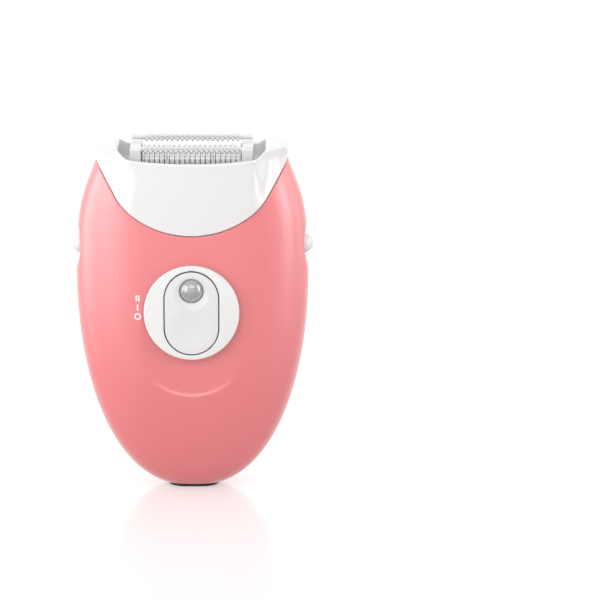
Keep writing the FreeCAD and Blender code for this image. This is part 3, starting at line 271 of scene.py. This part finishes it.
def surface_of(node):
    data = NODES[node].data
    return BVHTree.FromPolygons([v.co for v in data.vertices], [p.vertices for p in data.polygons])


def straight_behind(surface, x, z):
    """The point of the surface that (x, z) covers, seen from the front, and its normal."""
    spot, normal, _, _ = surface.ray_cast(Vector((x, FRONT_Y, z)), BACKWARDS)
    return spot, normal


def add_ring(mesh, points):
    return [mesh.verts.new(point) for point in points]


def close_band(mesh, corners):
    """Joins four rings, the corners of the band's section in order round it, into a closed band."""
    for a, b in zip(corners, corners[1:] + corners[:1]):
        for k in range(len(a)):
            j = (k + 1) % len(a)
            mesh.faces.new((a[k], a[j], b[j], b[k]))


def finish_band(mesh, name, body, look):
    bmesh.ops.recalc_face_normals(mesh, faces=mesh.faces)
    data = bpy.data.meshes.new(name)
    mesh.to_mesh(data)
    mesh.free()
    data.materials.append(look.material)
    band = bpy.data.objects.new(name, data)
    COLLECTION.objects.link(band)
    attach(band, body)


# ---- painted shadow in the seam between the switch disc and its thumb inlay: a black band where there is only shade ----
SEAM_GAP = 0.00015                 # the gap in the CAD
SEAM_SHADOW_WIDTH = 0.00034
SEAM_SHADOW_SINK = 0.00003                # how far the painted shadow band lies under the faces beside it
SEAM_SHADOW_THICKNESS = 0.0002
SEAM_BESIDE = 0.0007               # how far beside the gap the height of each face is taken
INLAY_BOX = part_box("switch_inlay")


def racetrack(grow, straight=10, arc=32):
    """Upright stadium around the inlay, as flat (x, z) points, grown outwards by grow."""
    low, high = INLAY_BOX
    mid_x, mid_z = (low[0] + high[0]) / 2, (low[2] + high[2]) / 2
    radius = (high[0] - low[0]) / 2 + grow
    half = (high[2] - low[2]) / 2 + grow - radius
    points = []
    for sign in (1, -1):
        for k in range(arc):
            turn = math.pi * k / arc
            points.append((mid_x + sign * radius * math.cos(turn),
                           mid_z + sign * (half + radius * math.sin(turn))))
        for k in range(straight):
            points.append((mid_x - sign * radius, mid_z + sign * half * (1 - 2 * k / straight)))
    return points


def seam_painted_shadow():
    """A thin black band of painted shadow that follows the gap around the inlay, just under the faces
    beside it.
    """
    mesh = bmesh.new()
    rings = []
    for side, node in ((1, "switch_disc"), (-1, "switch_inlay")):
        surface = surface_of(node)
        flat = racetrack(SEAM_GAP / 2 + side * SEAM_SHADOW_WIDTH / 2)
        heights = [straight_behind(surface, x, z)[0].y for x, z in racetrack(side * SEAM_BESIDE)]
        for sink in (SEAM_SHADOW_SINK, SEAM_SHADOW_SINK + SEAM_SHADOW_THICKNESS):
            rings.append(add_ring(mesh, [(x, y + sink, z) for (x, z), y in zip(flat, heights)]))
    over_out, under_out, over_in, under_in = rings
    close_band(mesh, [over_out, over_in, under_in, under_out])
    # painted shadow: black in the gap, where the parts around it are white and only shaded
    finish_band(mesh, "inlay_seam", "switch", LOOKS["black_plastic"])


seam_painted_shadow()


# ---- printed switch marks: II, I and O ----
INK = 0.00004                      # half the thickness of the print, on either side of the skin
MARK_X = -0.0178
BAR_HALF_X = 0.00024
BAR_SPACING = 0.00041              # of the two bars, from the mark's middle
SHELL_SURFACE = surface_of("front_shell")
SWITCH_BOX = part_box("switch_disc")
SWITCH_MID_Z = (SWITCH_BOX[0][2] + SWITCH_BOX[1][2]) / 2
PRINT_WHITE = plastic("printed_white_ink", (0.92, 0.84, 0.83), 0.4, depth=0.000005)


def printed_mark(name, loops):
    """A thin raised print: each loop pair (outer, inner) of flat points becomes a band on the shell."""
    mesh = bmesh.new()
    for loop_pair in loops:
        rings = []
        for points in loop_pair:
            spots = [straight_behind(SHELL_SURFACE, x, z) for x, z in points]
            for lift in (-INK, INK):
                rings.append(add_ring(mesh, [spot + lift * normal for spot, normal in spots]))
        under_out, over_out, under_in, over_in = rings
        close_band(mesh, [over_out, over_in, under_in, under_out])
    finish_band(mesh, name, "handle", PRINT_WHITE)


def bar_loop(x, z, half_z):
    """A round-cornered bar as a band around its own middle line."""
    outer, inner = [], []
    for k in range(24):
        turn = 2 * math.pi * (k + 0.5) / 24
        across = math.copysign(abs(math.cos(turn)) ** 0.4, math.cos(turn))
        along = math.copysign(abs(math.sin(turn)) ** 0.4, math.sin(turn))
        outer.append((x + BAR_HALF_X * across, z + half_z * along))
        inner.append((x + 0.02 * BAR_HALF_X * across, z + 0.9 * half_z * along))
    return outer, inner


def ring_loop(x, z, outer_r, inner_r):
    turns = [2 * math.pi * k / 40 for k in range(40)]
    return [[(x + r * math.cos(a), z + r * math.sin(a)) for a in turns] for r in (outer_r, inner_r)]


printed_mark("mark_two", [bar_loop(MARK_X + side * BAR_SPACING, SWITCH_MID_Z + 0.0043, 0.00108)
                          for side in (-1, 1)])
printed_mark("mark_one", [bar_loop(MARK_X, SWITCH_MID_Z + 0.0012, 0.00114)])
printed_mark("mark_off", [ring_loop(MARK_X, SWITCH_MID_Z - 0.0018, 0.00114, 0.00072)])


# ---- stage ----
FRAME_MIDDLE_X = 0.0357            # the middle of the picture lies to the right of the handle
FLOOR_Z = CAD_BOX[0][2]

bpy.ops.mesh.primitive_plane_add(size=6.0, location=(0.036, 0.0, FLOOR_Z))
floor = bpy.context.object
floor.name = "floor"
floor_look = Surface("pale_floor", (0.52, 0.517, 0.517), 0.16, Emission_Color=(1.0, 0.995, 0.995, 1.0),
                     Emission_Strength=0.40, Specular_IOR_Level=0.6)
floor_look.roughness(floor_look.spread(floor_look.noise(3.0), 0.14, 0.18))
floor.data.materials.append(floor_look.material)
floor.visible_glossy = False       # the floor gives the pieces no shine

# ---- lights ----
LIGHTS_AIM = Vector((0.0, 0.0, 0.06))

# name: (place, width, height, power)
LIGHTS = {
    "key_left": ((-0.77, -0.64, 0.34), 0.66, 0.85, 4.8),
    "side_left": ((-0.98, 0.00, 0.22), 0.6, 0.8, 4.4),
    "fill_right": ((0.86, -0.38, 0.32), 0.25, 0.7, 2.6),
    "side_right": ((0.95, 0.15, 0.26), 0.4, 0.8, 1.4),
    "top": ((0.0, 0.20, 1.0), 1.0, 0.7, 2.2),
    "front_high": ((0.05, -1.0, 0.85), 0.9, 0.5, 2.8),
    "front_low": ((0.10, -1.70, 0.32), 1.2, 0.45, 1.2),
}
for name, (place, width, height, power) in LIGHTS.items():
    data = bpy.data.lights.new(name, "AREA")
    data.shape = "RECTANGLE"
    data.size = width
    data.size_y = height
    data.energy = power
    lamp = bpy.data.objects.new(name, data)
    COLLECTION.objects.link(lamp)
    lamp.location = place
    lamp.rotation_euler = (LIGHTS_AIM - Vector(place)).to_track_quat("-Z", "Y").to_euler()

# ---- world: brighter upwards, and brighter behind the object, where a white backdrop stands ----
world = bpy.data.worlds.new("studio")
bpy.context.scene.world = world
world.use_nodes = True
tree = world.node_tree
background = tree.nodes["Background"]
background.inputs["Color"].default_value = (1.0, 0.995, 0.995, 1.0)
direction = tree.nodes.new("ShaderNodeTexCoord")
split = tree.nodes.new("ShaderNodeSeparateXYZ")
total = tree.nodes.new("ShaderNodeMath")
sky = map_range(tree, split.outputs["Z"], (-0.6, 0.8), (0.05, 0.66))
backdrop = map_range(tree, split.outputs["Y"], (0.35, 0.85), (0.0, 0.75))
tree.links.new(direction.outputs["Generated"], split.inputs["Vector"])
tree.links.new(sky, total.inputs[0])
tree.links.new(backdrop, total.inputs[1])
tree.links.new(total.outputs["Value"], background.inputs["Strength"])

# ---- camera: 14 degrees above the horizontal, long lens ----
ELEVATION = math.radians(14.0)
DISTANCE = 1.5
FRAME_WIDTH = 0.2                  # width of the picture at the object
SENSOR_MM = 36.0
aim = Vector((FRAME_MIDDLE_X, 0.0, 0.0631))
camera = bpy.data.objects.new("camera", bpy.data.cameras.new("camera"))
COLLECTION.objects.link(camera)
camera.location = aim + DISTANCE * Vector((0.0, -math.cos(ELEVATION), math.sin(ELEVATION)))
camera.rotation_euler = (math.pi / 2 - ELEVATION, 0.0, 0.0)
camera.data.sensor_width = SENSOR_MM
camera.data.lens = SENSOR_MM * DISTANCE / FRAME_WIDTH
bpy.context.scene.camera = camera
bpy.context.scene.view_settings.view_transform = "Standard"
